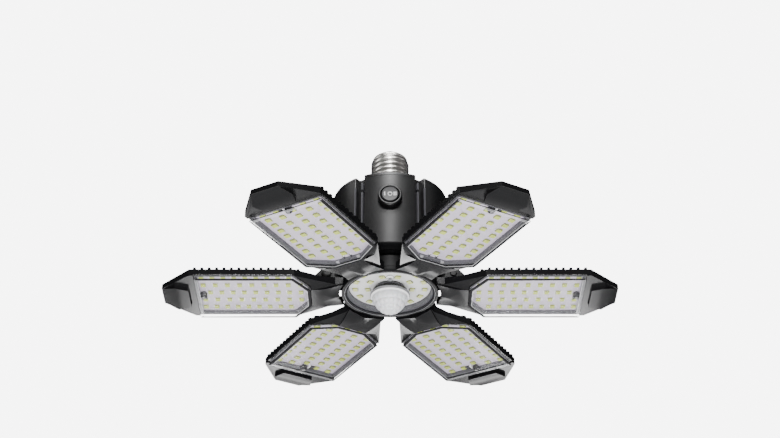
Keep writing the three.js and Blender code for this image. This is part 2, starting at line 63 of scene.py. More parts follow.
face_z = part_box("face_ring")[0][2]
hub_matrix = Matrix.Translation((0, 0, face_z)) @ Matrix.Scale(MM, 4)


def height(node, corner):
    """A node's lowest (0) or highest (1) z, in millimetres above the face plane."""
    return (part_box(node)[corner][2] - face_z) / MM


def radius(node):
    """The radius of a round node whose middle is at x = 0, in millimetres."""
    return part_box(node)[1][0] / MM


# ---- meshes -------------------------------------------------------------------------------------


def arc(centre, r, start, end, steps):
    """Points on an arc. The start and end are in degrees."""
    angles = [math.radians(start + (end - start) * i / steps) for i in range(steps + 1)]
    return [(centre[0] + r * math.cos(a), centre[1] + r * math.sin(a)) for a in angles]


def turns(sides):
    """Equal steps of a whole turn, in radians."""
    return [math.tau * i / sides for i in range(sides)]


def polar(r, t, z):
    return (r * math.cos(t), r * math.sin(t), z)


def rectangle(half_x, half_y):
    return [(-half_x, -half_y), (half_x, -half_y), (half_x, half_y), (-half_x, half_y)]


def inset(points, distance):
    """A convex outline, listed anticlockwise, moved inwards."""
    corners = [Vector(p) for p in points]
    count = len(corners)
    edges = []
    for i, a in enumerate(corners):
        along = (corners[(i + 1) % count] - a).normalized()
        edges.append((a + Vector((-along.y, along.x)) * distance, along))
    inner = []
    for i, (start, along) in enumerate(edges):
        before, direction = edges[i - 1]
        gap = start - before
        t = gap.cross(along) / direction.cross(along)
        inner.append(tuple(before + direction * t))
    return inner


def rounded(points, r):
    """An outline with each corner rounded by a short quadratic curve."""
    out = []
    for i, p in enumerate(points):
        here = Vector(p)
        before = Vector(points[i - 1])
        after = Vector(points[(i + 1) % len(points)])
        start = here + (before - here).normalized() * r
        end = here + (after - here).normalized() * r
        for k in range(CORNER_STEPS + 1):
            t = k / CORNER_STEPS
            out.append(tuple(start * (1 - t) ** 2 + here * 2 * t * (1 - t) + end * t**2))
    return out


class Build:
    """Gathers vertices and faces, in millimetres, with a material number on each face."""

    def __init__(self):
        self.verts = []
        self.faces = []
        self.slots = []

    def add(self, verts, faces, slot=0, matrix=None):
        start = len(self.verts)
        placed = [Vector(v) for v in verts]
        if matrix is not None:
            placed = [matrix @ v for v in placed]
        self.verts += placed
        self.faces += [[start + i for i in face] for face in faces]
        self.slots += slot if isinstance(slot, list) else [slot] * len(faces)
        return self

    def prism(self, points, low, high, slot=0, matrix=None):
        n = len(points)
        verts = [(x, y, low) for x, y in points] + [(x, y, high) for x, y in points]
        faces = [list(range(n))[::-1], list(range(n, 2 * n))]
        faces += [[i, (i + 1) % n, n + (i + 1) % n, n + i] for i in range(n)]
        return self.add(verts, faces, slot, matrix)

    def layers(self, rings, slot=0, matrix=None, closed=False, caps=None):
        """Skins a stack of rings of equal length. The ends are capped unless the stack is closed."""
        n = len(rings[0])
        verts = [v for ring in rings for v in ring]
        count = len(rings)
        spans = count if closed else count - 1
        faces = []
        for j in range(spans):
            a = j * n
            b = ((j + 1) % count) * n
            faces += [[a + i, a + (i + 1) % n, b + (i + 1) % n, b + i] for i in range(n)]
        slots = slot
        if isinstance(slot, list):
            slots = [slot[j] for j in range(spans) for _ in range(n)]
        if not closed:
            faces += [list(range(n))[::-1], list(range((count - 1) * n, count * n))]
            if isinstance(slot, list):
                slots += caps or [slot[0], slot[-1]]
        return self.add(verts, faces, slots, matrix)

    def lathe(self, profile, sides=ROUND, slot=0, matrix=None):
        """Turns (radius, z) points about z. A profile off the axis is closed into a ring."""
        hollow = profile[0][0] > 0 and profile[-1][0] > 0
        points = profile if hollow else [(max(r, AXIS_R), z) for r, z in profile]
        rings = [[polar(r, t, z) for t in turns(sides)] for r, z in points]
        return self.layers(rings, slot, matrix, closed=hollow)

    def box(self, x, y, z, slot=0, matrix=None):
        points = [(x[0], y[0]), (x[1], y[0]), (x[1], y[1]), (x[0], y[1])]
        return self.prism(points, z[0], z[1], slot, matrix)


def moved(build, matrix):
    build.verts = [matrix @ v for v in build.verts]
    return build


def level(outlines):
    """Rings for Build.layers, from (outline, z) pairs."""
    return [[(x, y, z) for x, y in outline] for outline, z in outlines]


def finish_mesh(bm, bevel, sharp):
    """Rounds the edges that turn by more than sharp, in degrees, and shades the others smooth."""
    bmesh.ops.recalc_face_normals(bm, faces=bm.faces)
    limit = math.radians(sharp)
    if bevel:
        edges = [e for e in bm.edges if len(e.link_faces) == 2 and e.calc_face_angle(0) > limit]
        bmesh.ops.bevel(
            bm,
            geom=edges,
            offset=bevel,
            segments=BEVEL_SEGMENTS,
            profile=0.5,
            affect="EDGES",
            clamp_overlap=True,
            loop_slide=True,
        )
    for face in bm.faces:
        face.smooth = True
    for edge in bm.edges:
        edge.smooth = len(edge.link_faces) == 2 and edge.calc_face_angle(0) < limit


def piece(name, build, materials, body, nodes=(), bevel=0.0, sharp=32, turn=0.0):
    """Makes a named object from a Build, turned about the lamp's axis, and rides it on a body."""
    bm = bmesh.new()
    verts = [bm.verts.new(v) for v in build.verts]
    for indices, number in zip(build.faces, build.slots):
        face = bm.faces.new([verts[i] for i in indices])
        face.material_index = number
    bmesh.ops.remove_doubles(bm, verts=bm.verts, dist=1e-4)
    finish_mesh(bm, bevel, sharp)
    return place(name, bm, materials, body, nodes, hub_matrix @ Matrix.Rotation(turn, 4, "Z"))


def place(name, bm, materials, body, nodes, matrix):
    """Makes the object of a mesh, rides it on its body and hides the CAD nodes it replaces."""
    bm.transform(matrix)
    mesh = bpy.data.meshes.new(name)
    bm.to_mesh(mesh)
    bm.free()
    obj = bpy.data.objects.new(name, mesh)
    bpy.context.scene.collection.objects.link(obj)
    for material in materials:
        mesh.materials.append(material)
    weighted = obj.modifiers.new("normals", "WEIGHTED_NORMAL")
    weighted.keep_sharp = True
    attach(obj, body)
    if nodes:
        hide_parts(*nodes)
    return obj


def refined(name, node, material, body, bevel):
    """The CAD node's shape with its flat faces joined and its edges rounded."""
    bm = bmesh.new()
    bm.from_mesh(frame["nodes"][node].data)
    bmesh.ops.remove_doubles(bm, verts=bm.verts, dist=1e-6)
    flat = math.radians(0.5)
    bmesh.ops.dissolve_limit(bm, angle_limit=flat, verts=bm.verts, edges=bm.edges)
    bm.transform(Matrix.Scale(1 / MM, 4))
    finish_mesh(bm, bevel, sharp=20)
    return place(name, bm, [material], body, [node], Matrix.Scale(MM, 4))


def around_y(y, z):
    """Places a shape turned about z so that its high end faces -Y, with its z = 0 at the given y."""
    return Matrix.Translation((0, y, z)) @ Matrix.Rotation(math.pi / 2, 4, "X")


# ---- materials ----------------------------------------------------------------------------------

NOISE_LOW = 0.3  # most of a noise's values lie between these two
NOISE_HIGH = 0.7
BROAD_SCALE = 60  # of the broad noise, per metre
BUMP_DISTANCE = 0.05  # in millimetres


def surface(name, color, roughness, grain=0.3, bump=0.1, tint=0.12, metal=0.0, **sockets):
    """A principled material with fine grain: noise in its colour, its roughness and its bump.

    grain is the size of the grain in millimetres, and tint how far the colour varies.
    """
    material = bpy.data.materials.new(name)
    material.use_nodes = True
    nodes = material.node_tree.nodes
    links = material.node_tree.links
    shader = nodes["Principled BSDF"]
    shader.inputs["Metallic"].default_value = metal
    for socket, value in sockets.items():
        shader.inputs[socket.replace("_", " ")].default_value = value
    coordinates = nodes.new("ShaderNodeTexCoord")
    fine = nodes.new("ShaderNodeTexNoise")
    fine.inputs["Scale"].default_value = 1 / (grain * MM)
    fine.inputs["Detail"].default_value = 3
    broad = nodes.new("ShaderNodeTexNoise")
    broad.inputs["Scale"].default_value = BROAD_SCALE
    broad.inputs["Detail"].default_value = 4
    for noise in (fine, broad):
        links.new(coordinates.outputs["Object"], noise.inputs["Vector"])
    ramp = nodes.new("ShaderNodeValToRGB")
    low, high = ramp.color_ramp.elements
    low.position = NOISE_LOW
    high.position = NOISE_HIGH
    low.color = (*[c * (1 - tint) for c in color], 1)
    high.color = (*[min(1, c * (1 + tint)) for c in color], 1)
    mix = nodes.new("ShaderNodeMath")
    mix.operation = "MULTIPLY_ADD"
    mix.inputs[1].default_value = 0.5
    half = nodes.new("ShaderNodeMath")
    half.operation = "MULTIPLY"
    half.inputs[1].default_value = 0.5
    links.new(broad.outputs["Fac"], half.inputs[0])
    links.new(fine.outputs["Fac"], mix.inputs[0])
    links.new(half.outputs[0], mix.inputs[2])
    links.new(mix.outputs[0], ramp.inputs["Fac"])
    links.new(ramp.outputs["Color"], shader.inputs["Base Color"])
    rough = nodes.new("ShaderNodeMapRange")
    rough.inputs["From Min"].default_value = NOISE_LOW
    rough.inputs["From Max"].default_value = NOISE_HIGH
    rough.inputs["To Min"].default_value = roughness * 0.94
    rough.inputs["To Max"].default_value = min(1, roughness * 1.06)
    links.new(broad.outputs["Fac"], rough.inputs["Value"])
    links.new(rough.outputs["Result"], shader.inputs["Roughness"])
    if bump:
        relief = nodes.new("ShaderNodeBump")
        relief.inputs["Strength"].default_value = bump
        relief.inputs["Distance"].default_value = BUMP_DISTANCE * MM
        links.new(fine.outputs["Fac"], relief.inputs["Height"])
        links.new(relief.outputs["Normal"], shader.inputs["Normal"])
    return material


def clear_plastic(name, color, clear, grazing):
    """Clear moulding: its opacity goes from clear, face on, to grazing, at a grazing angle."""
    material = surface(name, color, 0.08, grain=2, bump=0.02, tint=0.03)
    nodes = material.node_tree.nodes
    links = material.node_tree.links
    shader = nodes["Principled BSDF"]
    layer = nodes.new("ShaderNodeLayerWeight")
    layer.inputs["Blend"].default_value = 0.35
    alpha = nodes.new("ShaderNodeMapRange")
    alpha.inputs["To Min"].default_value = clear
    alpha.inputs["To Max"].default_value = grazing
    links.new(layer.outputs["Facing"], alpha.inputs["Value"])
    links.new(alpha.outputs["Result"], shader.inputs["Alpha"])
    return material


casting_paint = surface(
    "casting paint", (0.005, 0.005, 0.0055), 0.2, grain=0.3, bump=0.06, Specular_IOR_Level=0.4
)
hub_paint = surface(
    "hub paint", (0.005, 0.005, 0.0055), 0.35, grain=0.3, bump=0.06, Specular_IOR_Level=0.12
)
housing_plastic = surface(
    "housing plastic", (0.005, 0.005, 0.0055), 0.4, grain=0.25, bump=0.06, Specular_IOR_Level=0.5
)
ring_plastic = surface(
    "ring plastic", (0.006, 0.006, 0.0065), 0.35, grain=0.25, bump=0.06, Specular_IOR_Level=0.15
)
# A paler grey for the chamfer at the ring's inner edge: painted highlight.
ring_edge_highlight = surface("ring edge highlight", (0.16, 0.16, 0.17), 0.35, grain=0.25, bump=0.05)
# Grey for the walls round the boards, the ring's seat and the groove ribs: painted reflection on the walls
# and painted highlight lines on the ribs.
wall_sheen_grey = surface("grey wall", (0.085, 0.085, 0.095), 0.45, grain=0.3, bump=0.06)
button_plastic = surface("button plastic", (0.03, 0.03, 0.032), 0.45, grain=0.25, bump=0.15)
mark_paint = surface("mark paint", (0.9, 0.9, 0.9), 0.5, grain=0.15, bump=0.05)
board_mask = surface("board mask", (0.6, 0.54, 0.65), 0.38, grain=0.4, bump=0.06, tint=0.03)
hub_mask = surface("hub board mask", (0.74, 0.74, 0.74), 0.38, grain=0.4, bump=0.06, tint=0.03)
led_frame = surface("led package", (0.56, 0.63, 0.2), 0.4, grain=0.3, bump=0.04, tint=0.05)
hub_led_frame = surface("hub led package", (0.7, 0.72, 0.5), 0.4, grain=0.3, bump=0.04, tint=0.05)
hub_phosphor = surface("hub led phosphor", (0.6, 0.64, 0.22), 0.45, grain=0.12, bump=0.2, tint=0.1)
phosphor = surface("led phosphor", (0.54, 0.63, 0.09), 0.45, grain=0.12, bump=0.2, tint=0.1)
# The LED packages' sides are painted darker than their frames: painted shade.
led_side_shade = surface("led side shade", (0.26, 0.29, 0.06), 0.5, grain=0.3, bump=0.04, tint=0.05)
solder = surface("solder", (0.6, 0.6, 0.6), 0.3, grain=0.3, bump=0.2, metal=1.0)
nickel = surface("nickel plate", (0.86, 0.84, 0.8), 0.3, grain=1.5, bump=0, tint=0.04, metal=1.0)
steel = surface("zinc steel", (0.42, 0.42, 0.43), 0.32, grain=0.2, bump=0.12, metal=1.0)
dark_steel = surface(
    "black steel", (0.02, 0.02, 0.02), 0.35, grain=0.2, bump=0.12, metal=0.4, Specular_IOR_Level=0.3
)
silver_plastic = surface("silver plastic", (0.2, 0.2, 0.21), 0.32, grain=0.2, bump=0.06, tint=0.04)
dome_plastic = surface(
    "dome plastic", (0.78, 0.78, 0.8), 0.18, grain=0.5, bump=0.05, tint=0.02, Subsurface_Weight=0.05
)
rim_plastic = surface("dome rim", (0.97, 0.97, 0.97), 0.3, grain=0.5, bump=0.03, tint=0.02)
black_glass = surface("base glass", (0.012, 0.012, 0.014), 0.12, grain=0.5, bump=0.02)
circuit_mask = surface("circuit mask", (0.03, 0.13, 0.06), 0.4, grain=0.4, bump=0.1)
coil_tape = surface("coil tape", (0.6, 0.38, 0.04), 0.5, grain=0.3, bump=0.1)
lens_plastic = clear_plastic("lens plastic", (0.2, 0.2, 0.22), 0.01, 0.1)
# The dark line at the edges of the clear lenses is painted shade, for how a clear edge looks dark.
lens_edge_shade = surface(
    "lens edge shade", (0.012, 0.012, 0.013), 0.5, grain=0.3, bump=0.02, Specular_IOR_Level=0.05
)
# A painted highlight: the white glint strip inside the lens's dark line.
glint_plastic = clear_plastic("lens glint", (0.9, 0.9, 0.92), 0.35, 0.6)
hub_lens_plastic = clear_plastic("hub lens plastic", (0.35, 0.35, 0.38), 0.01, 0.06)
# A pale haze for the far end of the lens border: painted sheen.
lens_end_sheen = clear_plastic("lens end sheen", (0.6, 0.6, 0.62), 0.2, 0.4)
clip_plastic = clear_plastic("lens clip", (0.7, 0.7, 0.73), 0.5, 0.8)
bead_plastic = clear_plastic("bead plastic", (0.85, 0.87, 0.9), 0.1, 0.7)

# ---- leaf ---------------------------------------------------------------------------------------

LENS_LOW, LENS_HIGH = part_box("leaf_lens_1")
LENS_INNER = LENS_LOW[0] / MM
LENS_OUTER = LENS_HIGH[0] / MM
LENS_HALF = LENS_HIGH[1] / MM
LENS_FACE_Z = height("leaf_lens_1", 0)
LENS_CHAMFER = 10.8  # how far along the leaf its slanted hub end reaches
LENS_HALF_NECK = 10.5  # half the width of its hub end
LENS_OUTLINE = [
    (LENS_INNER, LENS_HALF_NECK),
    (LENS_INNER, -LENS_HALF_NECK),
    (LENS_INNER + LENS_CHAMFER, -LENS_HALF),
    (LENS_OUTER, -LENS_HALF),
    (LENS_OUTER, LENS_HALF),
    (LENS_INNER + LENS_CHAMFER, LENS_HALF),
]
RIM_Z = -0.2  # the casting's rim, which the lens stands below
LENS_PLATE = 1.1  # thickness of the lens face
LENS_BORDER = 1.75
LENS_STEP_Z = -0.5  # top of the lens border
LENS_LINE = 2.1  # width of the dark line of painted shade along the edge of the lens face
LENS_GLINT = 0.5  # width of the painted highlight strip inside that line
CORNER_R = 0.9
LINER_INSET = 1.36  # of the grey wall's outer face, from the lens outline
LINER_WALL = 0.42
LINER_FLANGE = 0.3  # inset of the edge of the wall's flange
BOARD_Z = height("led_board_1", 0)
BOARD_TOP_Z = height("led_board_1", 1)
BOARD_INSET = 1.6
LEAF_SCREW_X = sum(c[0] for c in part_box("lens_screw_1")) / 2 / MM

# Each row's place across the leaf, its first LED's distance from the lamp's axis, and its pitch.
LED_ROWS = [(-19.4, 66.4, 7.15), (-9.7, 59.1, 8.0), (0, 59.1, 7.5), (9.7, 59.1, 8.0), (19.4, 66.4, 7.15)]
LEDS_PER_ROW = 9
LED_LENGTH = 3.3
LED_WIDTH = 3.9
LED_HEIGHT = 0.9
LED_TAPER = 0.12
LED_RIM_INSET = 0.4
LED_WELL_INSET = 0.55
LED_WELL_DEPTH = 0.12
LED_LIFT = 0.01  # how far a package stands off its board


def led(build, x, y, board_z, turn=0.0):
    """One package, hanging below its board: a tapered frame round a phosphor well, on two pads.

    The slots are 0 for the frame, 1 for the well, 2 for the pads and 3 for the frame's sides, which are
    painted darker as shade.
    """
    matrix = Matrix.Rotation(turn, 4, "Z") @ Matrix.Translation((x, y, board_z - LED_LIFT))

    def outline(step):
        return rectangle(LED_LENGTH / 2 - step, LED_WIDTH / 2 - step)

    outlines = [
        (outline(0), 0),
        (outline(LED_TAPER), -LED_HEIGHT),
        (outline(LED_RIM_INSET), -LED_HEIGHT),
        (outline(LED_WELL_INSET), -LED_HEIGHT + LED_WELL_DEPTH),
    ]
    build.layers(level(outlines), [3, 0, 1], matrix)
    pad_half = 0.35
    pad_depth = 0.12
    for side in (-1, 1):
        pad_x = side * (LED_LENGTH / 2 + 0.3)
        across = (-LED_WIDTH * 0.4, LED_WIDTH * 0.4)
        build.box((pad_x - pad_half, pad_x + pad_half), across, (-pad_depth, 0), 2, matrix)


def leaf_lens():
    """The clear tray: a face plate, a solid border that stands below the casting's rim, two clips
    and the screw's boss. The slots are 0 clear, 1 dark line of painted shade, 2 clips,
    3 glint of painted highlight, 4 boss, 5 far end painted pale."""
    outer = rounded(LENS_OUTLINE, CORNER_R)
    chamfer = 0.25
    step_chamfer = 0.15
    outlines = [
        (inset(outer, LENS_LINE + LENS_GLINT), LENS_FACE_Z),
        (inset(outer, LENS_LINE), LENS_FACE_Z),
        (inset(outer, chamfer), LENS_FACE_Z),
        (outer, LENS_FACE_Z + chamfer),
        (outer, LENS_FACE_Z + 2 * chamfer),
        (outer, LENS_STEP_Z - step_chamfer),
        (inset(outer, step_chamfer), LENS_STEP_Z),
        (inset(outer, LENS_BORDER), LENS_STEP_Z),
        (inset(outer, LENS_BORDER), LENS_FACE_Z + LENS_PLATE),
    ]
    build = Build().layers(level(outlines), [3, 1, 1, 1, 0, 0, 0, 0], caps=[0, 0])
    # The line's strip along the leaf's far end is painted pale instead of dark, as painted sheen on the clear
    # border.
    strip_low = LENS_OUTER - LENS_LINE - 0.01
    strip_high = LENS_OUTER - 1
    for i, face in enumerate(build.faces):
        inner_x = min(build.verts[k].x for k in face)
        if build.slots[i] == 1 and strip_low < inner_x < strip_high:
            build.slots[i] = 5
    clip_v = 7.6
    clip_half = 1.1
    for v in (-clip_v, clip_v):
        along = (LENS_INNER + 0.3, LENS_INNER + 1.9)
        build.box(along, (v - clip_half, v + clip_half), (LENS_STEP_Z + 0.05, 0.9), 2)
    boss = [(1.5, -1.6), (2.5, -1.6), (2.4, 0.8), (1.5, 0.8)]
    build.lathe(boss, FINE, 4, Matrix.Translation((LEAF_SCREW_X, 0, 0)))
    return build


def leaf_liner():
    """The wall round the board, inside the casting, with a thin flange below the rim; its grey is painted
    reflection.
    """
    outer = rounded(inset(LENS_OUTLINE, LINER_INSET), CORNER_R)
    inner = inset(outer, LINER_WALL)
    flange = inset(outer, LINER_FLANGE - LINER_INSET)
    flange_low = RIM_Z - 0.2
    flange_top = RIM_Z - 0.05
    wall_top = BOARD_Z - 0.03
    outlines = [
        (inner, flange_low),
        (flange, flange_low),
        (flange, flange_top),
        (outer, flange_top),
        (outer, wall_top),
        (inner, wall_top),
    ]
    return Build().layers(level(outlines), closed=True)


def leaf_board():
    corner = 1.2
    return Build().prism(rounded(inset(LENS_OUTLINE, BOARD_INSET), corner), BOARD_Z, BOARD_TOP_Z)


def leaf_leds():
    build = Build()
    for v, first, pitch in LED_ROWS:
        for i in range(LEDS_PER_ROW):
            led(build, first + i * pitch, v, BOARD_Z)
    return build


def board_terminals(hand):
    """Two solder pads and wires where the leaf is fed, and a white bar and a pair of bridged chips
    near the screw. They are on the lamp's rear side of every screw, so hand, 1 or -1, says on
    which side of this leaf they go."""
    build = Build()
    feed_x = LENS_INNER + 3.1
    feed_v = 2.6
    blob = [(0, -0.55), (0.5, -0.5), (0.9, -0.2), (1.1, -0.01), (0, -0.01)]
    wire_r = 0.45
    wire_length = 3.2
    wire = [(0, 0), (wire_r, 0), (wire_r, wire_length), (0, wire_length)]
    lie_down = Matrix.Rotation(-math.pi / 2, 4, "Y")
    for v in (-feed_v, feed_v):
        build.lathe(blob, FINE // 2, 0, Matrix.Translation((feed_x, v, BOARD_Z)))
        build.lathe(wire, TINY, 1, Matrix.Translation((feed_x, v, BOARD_Z - 0.5)) @ lie_down)

    def chip(x, v, slot):
        """A block that spans x along the leaf and v across it, both measured from the screw."""
        along = (LEAF_SCREW_X + x[0], LEAF_SCREW_X + x[1])
        build.box(along, sorted((hand * v[0], hand * v[1])), (BOARD_Z - 1.2, BOARD_Z), slot)

    chip((-1.9, 1.9), (3.2, 4.4), 2)
    chip((-1.2, 1.2), (5.8, 6.8), 1)
    chip((-1.7, -0.7), (5, 8.4), 1)
    chip((0.7, 1.7), (5, 8.4), 1)
    return build


def lens_screw():
    """A pan-head screw with its head down, and a cross standing in the dished head."""
    head_r = 1.95
    shank_r = 1.1
    low = height("lens_screw_1", 0) + 0.02
    top = height("lens_screw_1", 1)
    build = Build()
    profile = [(0, low + 0.12), (head_r * 0.55, low + 0.05), (head_r * 0.9, low + 0.15)]
    profile += [(head_r, low + 0.4), (head_r, low + 0.7), (shank_r, low + 0.75)]
    profile += [(shank_r, top - 0.4), (shank_r * 0.7, top), (0, top)]
    build.lathe(profile, FINE)
    arm = head_r * 0.55
    arm_half = 0.25
    for turn in (0, math.pi / 2):
        matrix = Matrix.Rotation(turn, 4, "Z")
        build.box((-arm, arm), (-arm_half, arm_half), (low + 0.02, low + 0.3), 1, matrix)
    return moved(build, Matrix.Translation((LEAF_SCREW_X, 0, 0)))


def hinge_pin():
    """A pin with a chamfered head, a round recess in it, and a chamfered far end."""
    low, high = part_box("hinge_pin_1")
    length = (high[1] - low[1]) / MM
    head = 1.4
    profile = [(0, 0.35), (1.3, 0.35), (1.3, 0.02), (2.6, 0.02), (3.2, 0.3), (3.35, 0.8), (3.35, head)]
    profile += [(2, head), (2, length - 0.3), (1.7, length - 0.02), (0, length - 0.02)]
    hinge_x = (low[0] + high[0]) / 2 / MM
    hinge_z = (low[2] + high[2]) / 2 / MM - face_z / MM
    at = Matrix.Translation((hinge_x, high[1] / MM, hinge_z)) @ Matrix.Rotation(math.pi / 2, 4, "X")
    return moved(Build().lathe(profile, FINE), at)


LENS_LOOK = [lens_plastic, lens_edge_shade, clip_plastic, glint_plastic, button_plastic, lens_end_sheen]
LED_LOOK = [led_frame, phosphor, solder, led_side_shade]
TERMINAL_LOOK = [solder, button_plastic, rim_plastic]
for number in range(1, LEAVES + 1):
    body = f"leaf_{number}"
    turn = (number - 1) * math.tau / LEAVES
    hand = 1 if math.cos(turn) > 0 else -1
    board_node = f"led_board_{number}"
    refined(f"casting_{number}", f"leaf_casting_{number}", casting_paint, body, 0.22)
    piece(f"lens_{number}", leaf_lens(), LENS_LOOK, body, [f"leaf_lens_{number}"], turn=turn)
    piece(f"liner_{number}", leaf_liner(), [wall_sheen_grey], body, turn=turn)
    piece(f"board_{number}", leaf_board(), [board_mask], body, [board_node], 0.12, turn=turn)
    piece(f"leds_{number}", leaf_leds(), LED_LOOK, body, turn=turn)
    piece(f"terminals_{number}", board_terminals(hand), TERMINAL_LOOK, body, turn=turn)
    screw_node = f"lens_screw_{number}"
    piece(f"screw_{number}", lens_screw(), [dark_steel, steel], body, [screw_node], turn=turn)
    piece(f"pin_{number}", hinge_pin(), [dark_steel], body, [f"hinge_pin_{number}"], turn=turn)

# ---- hub ----------------------------------------------------------------------------------------

RING_R = radius("face_ring")
OPENING_R = 29.5
SEAT_R = 27.7
HUB_TOP_Z = 7.1  # top of the face ring, the hub board and the sensor holder
HUB_LENS_R = radius("hub_lens")
HUB_BOARD_Z = height("hub_led_board", 0)
HUB_BOARD_R = radius("hub_led_board")
COLLAR_R = radius("sensor_collar")
DOME_RIM_Z = height("sensor_dome", 1)
DOME_LOW_Z = height("sensor_dome", 0)
DOME_R = 12.2
DOME_FACET_ROWS = [(6, 26), (26, 46), (46, 64), (64, 78)]  # in degrees below the rim
DOME_FACETS = [18, 15, 11, 7]  # how many facets each row has
DOME_RELIEF = 0.5  # how far a facet swells out
DOME_TAPER = 0.09  # how much slimmer than a sphere the dome is, at 45 degrees below the rim
# Each ring's radius, its number of LEDs and its first LED's angle in degrees.
HUB_LED_RINGS = [(23.3, 15, 6), (15, 9, 10)]


def face_ring():
    """The ring: a face with a pale line at its inner edge, a painted highlight, and a grey wall up to its
    seat, grey as painted reflection.

    The slots are 0 for the ring, 1 for the wall and 2 for the line.
    """
    profile = [(SEAT_R, 2.1), (OPENING_R - 0.1, 2.1), (OPENING_R, 2.0), (OPENING_R, 0.5)]
    slots = [1, 1, 1, 0]
    profile += [(OPENING_R + 0.3, 0.1), (OPENING_R + 0.7, 0), (RING_R - 0.7, 0)]
    slots += [2, 0, 0]
    profile += [(RING_R - 0.2, 0.2), (RING_R, 0.7), (RING_R, 3)]
    slots += [0, 0, 0]
    profile += [(SEAT_R + 2, 3), (SEAT_R + 2, HUB_TOP_Z), (SEAT_R, HUB_TOP_Z)]
    slots += [0, 0, 1]
    return Build().lathe(profile, ROUND, slots)


def hub_lens():
    """A clear flat ring whose edges are painted dark as shade."""
    inner = 12.4
    outer = HUB_LENS_R
    profile = [(inner, 0.5), (inner + 0.2, 0.3), (outer - 0.35, 0.3), (outer, 0.6)]
    profile += [(outer, 1.75), (outer - 0.1, 1.8), (inner + 0.1, 1.8), (inner, 1.7)]
    return Build().lathe(profile, ROUND, [1, 0, 1, 1, 0, 0, 0, 0])


def hub_board():
    hole = 9.3
    profile = [(hole, HUB_BOARD_Z), (HUB_BOARD_R, HUB_BOARD_Z), (HUB_BOARD_R, HUB_TOP_Z), (hole, HUB_TOP_Z)]
    return Build().lathe(profile)


def hub_leds():
    build = Build()
    for r, count, first in HUB_LED_RINGS:
        for i in range(count):
            led(build, r, 0, HUB_BOARD_Z, math.radians(first) + math.tau * i / count)
    return build


def sensor_holder():
    """A neck that flares out to a cup round the dome."""
    low = height("sensor_holder", 0)
    inner = [(7.4, HUB_TOP_Z), (7.4, 5), (8.8, 3.6), (10.9, low + 0.05)]
    outer = [(12, low), (12.1, low + 0.2), (12.0, 1.7), (11.5, 2.9), (10.6, 4.0), (9.6, 4.8)]
    outer += [(9, 5.1), (9, HUB_TOP_Z)]
    return Build().lathe(inner + outer, ROUND)


def sensor_collar():
    low = height("sensor_collar", 0)
    high = height("sensor_collar", 1)
    hole = 10.4
    edge = 0.3
    profile = [(hole, low), (COLLAR_R - edge, low), (COLLAR_R, low + edge), (COLLAR_R, high - edge)]
    profile += [(COLLAR_R - edge, high), (hole, high)]
    return Build().lathe(profile, ROUND)


def dome_radius(azimuth, depth):
    """The dome's radius, with a shallow lens swelling inside each facet. The azimuth is in
    radians, and the depth in degrees below the rim."""
    for (start, end), count in zip(DOME_FACET_ROWS, DOME_FACETS):
        if start <= depth < end:
            u = (azimuth / math.tau * count) % 1
            v = (depth - start) / (end - start)
            swell = (1 - abs(2 * u - 1) ** 3) * (1 - abs(2 * v - 1) ** 3)
            return DOME_R - DOME_RELIEF + DOME_RELIEF * swell
    return DOME_R - DOME_RELIEF


def sensor_dome():
    """The faceted dome, with a smooth rim that sits on the collar."""
    sides = 180
    steps = 60
    first = 2  # degrees below the rim
    last = 89.6
    centre_z = DOME_LOW_Z + DOME_R
    rim = [(DOME_R - 1.2, DOME_RIM_Z), (COLLAR_R - 0.5, DOME_RIM_Z)]
    rim += [(COLLAR_R - 0.35, DOME_RIM_Z - 0.15), (COLLAR_R - 0.35, DOME_RIM_Z - 0.5)]
    rim += [(COLLAR_R - 0.5, DOME_RIM_Z - 0.6), (DOME_R, DOME_RIM_Z - 0.65)]
    rings = [[polar(r, t, z) for t in turns(sides)] for r, z in rim]
    for j in range(steps + 1):
        depth = first + (last - first) * j / steps
        lean = math.radians(depth)
        ring = []
        for t in turns(sides):
            r = dome_radius(t, depth)
            out = r * math.cos(lean) * (1 - DOME_TAPER * math.sin(2 * lean) ** 2)
            ring.append(polar(out, t, centre_z - r * math.sin(lean)))
        rings.append(ring)
    return Build().layers(rings, [1] * len(rim) + [0] * steps, caps=[1, 0])


def light_sensor():
    """A clear bead with a dark triangular chip and a white ring inside."""
    low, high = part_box("light_sensor")
    at = Matrix.Translation((0, (low[1] + high[1]) / 2 / MM, 0))
    bead_r = (high[0] - low[0]) / 2 / MM
    bead_low = 2.2
    squash = 0.8
    base = height("light_sensor", 1)
    build = Build()
    dome = [(r, bead_low + (bead_r + z) * squash) for r, z in arc((0, 0), bead_r, -88, 0, 10)]
    build.lathe([*dome, (bead_r, base), (0, base)], FINE, 0, at)
    triangle = [(-1.8, 1.2), (1.8, 1.2), (0, -2.1)]
    build.prism(triangle, 2.6, 3.1, 1, at)
    inner = bead_r - 0.5
    outer = bead_r - 0.02
    build.lathe([(inner, 3.4), (outer, 4.1), (outer, 4.5), (inner, 4.5)], FINE, 2, at)
    return build


RING_LOOK = [ring_plastic, wall_sheen_grey, ring_edge_highlight]
HUB_LED_LOOK = [hub_led_frame, hub_phosphor, solder, led_side_shade]
refined("hub", "hub_frame", hub_paint, ROOT, 0.2)
piece("hub_ring", face_ring(), RING_LOOK, ROOT, ["face_ring"])
piece("hub_cover", hub_lens(), [hub_lens_plastic, lens_edge_shade], ROOT, ["hub_lens"])
piece("hub_board", hub_board(), [hub_mask], ROOT, ["hub_led_board"], bevel=0.1)
piece("hub_leds", hub_leds(), HUB_LED_LOOK, ROOT)
piece("holder", sensor_holder(), [hub_paint], ROOT, ["sensor_holder"])
piece("collar", sensor_collar(), [silver_plastic], ROOT, ["sensor_collar"])
piece("dome", sensor_dome(), [dome_plastic, rim_plastic], ROOT, ["sensor_dome"], sharp=60)
piece("bead", light_sensor(), [bead_plastic, black_glass, mark_paint], ROOT, ["light_sensor"])

# ---- driver housing -----------------------------------------------------------------------------

